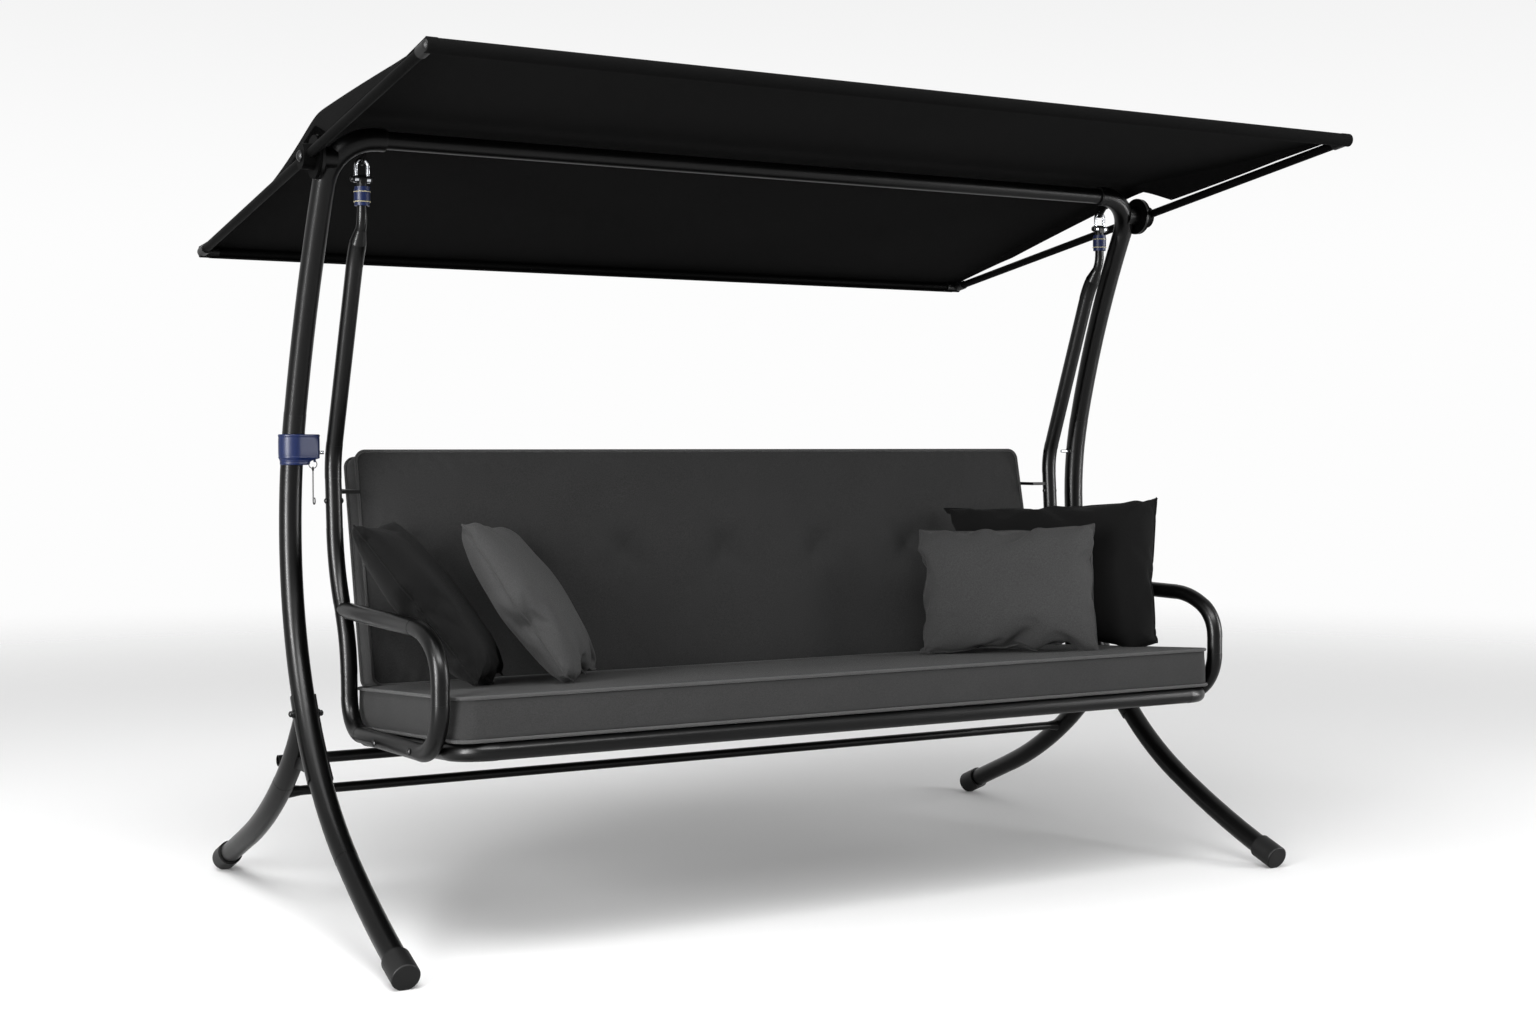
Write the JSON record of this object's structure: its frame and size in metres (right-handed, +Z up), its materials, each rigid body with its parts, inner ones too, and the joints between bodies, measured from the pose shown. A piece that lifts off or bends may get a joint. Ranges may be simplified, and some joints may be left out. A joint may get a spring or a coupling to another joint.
{
  "type": "canopy swing bench",
  "caption": "Free-standing garden swing bench with a bent-tube frame, hanging cushioned seat with reclining back, and a tilting fabric canopy.",
  "frame": {"origin": "on the floor, under the middle of the whole object's box", "axes": "+X along the bench to its right end seen from the front, the front faces -Y, +Z up"},
  "size_m": [2.2752, 1.5788, 1.74],
  "materials": {
    "black_coat": "satin black powder coat on bent steel tube",
    "black_bolt": "blackened steel",
    "zinc_steel": "bright zinc plate",
    "foot_rubber": "moulded black rubber",
    "black_plastic": "moulded black plastic",
    "blue_plastic": "glossy navy blue plastic",
    "canopy_cloth": "coated black outdoor cloth",
    "cushion_cloth": "anthracite woven cloth",
    "black_cloth": "black woven cloth",
    "grey_cloth": "dark grey woven cloth"
  },
  "bodies": {
    "frame": {"left_post": "black_coat", "right_post": "black_coat", "top_beam": "black_coat", "beam_bushes": "black_plastic", "left_rear_leg": "black_coat", "right_rear_leg": "black_coat", "left_leg_saddle": "black_coat", "right_leg_saddle": "black_coat", "leg_bolts": "black_bolt", "upper_stretcher": "black_coat", "lower_stretcher": "black_coat", "foot_caps": "foot_rubber", "left_hanger_lug": "black_coat", "right_hanger_lug": "black_coat", "left_pivot_bracket": "black_coat", "right_pivot_bracket": "black_coat", "pivot_bolts": "black_bolt", "lock_collar": "blue_plastic", "right_lock_bush": "black_plastic", "clip_ring": "zinc_steel", "r_clip": "zinc_steel"},
    "left_lock_pin": {"left_lock_pin": "zinc_steel"},
    "right_lock_pin": {"right_lock_pin": "zinc_steel"},
    "canopy": {"left_canopy_hub": "black_plastic", "right_canopy_hub": "black_plastic", "left_canopy_tube": "black_coat", "right_canopy_tube": "black_coat", "front_canopy_rail": "black_coat", "rear_canopy_rail": "black_coat", "canopy_corners": "black_plastic", "canopy_fabric": "canopy_cloth"},
    "seat": {"left_shackle": "zinc_steel", "right_shackle": "zinc_steel", "shackle_bolts": "black_bolt", "hanger_heads": "black_coat", "hanger_sleeves": "blue_plastic", "left_arm": "black_coat", "right_arm": "black_coat", "left_side_loop": "black_coat", "right_side_loop": "black_coat", "arm_spigots": "black_plastic", "arm_bolts": "black_bolt", "seat_frame": "black_coat", "seat_slats": "black_coat", "seat_bolts": "black_bolt", "back_hinges": "black_coat", "stay_links": "zinc_steel", "seat_cushion": "cushion_cloth", "left_black_pillow": "black_cloth", "left_grey_pillow": "grey_cloth", "right_black_pillow": "black_cloth", "right_grey_pillow": "grey_cloth"},
    "back": {"back_frame": "black_coat", "back_slats": "black_coat", "stay_pins": "zinc_steel", "back_cushion": "cushion_cloth"}
  },
  "joints": [
    {"name": "seat_swing", "type": "hinge", "parent": "frame", "child": "seat", "pos_m": [0, -0.05337, 1.62198], "axis": [1, 0, 0], "range_deg": [-15, 15]},
    {"name": "back_recline", "type": "hinge", "parent": "seat", "child": "back", "pos_m": [0, 0.1654, 0.37707], "axis": [-1, 0, 0], "range_deg": [0, 60]},
    {"name": "canopy_tilt", "type": "hinge", "parent": "frame", "child": "canopy", "pos_m": [0, -0.07737, 1.61698], "axis": [1, 0, 0], "range_deg": [-10, 10]},
    {"name": "left_lock_slide", "type": "slide", "parent": "frame", "child": "left_lock_pin", "axis": [1, 0, 0], "range_m": [0, 0.014]},
    {"name": "right_lock_slide", "type": "slide", "parent": "frame", "child": "right_lock_pin", "axis": [-1, 0, 0], "range_m": [0, 0.03]}
  ]
}
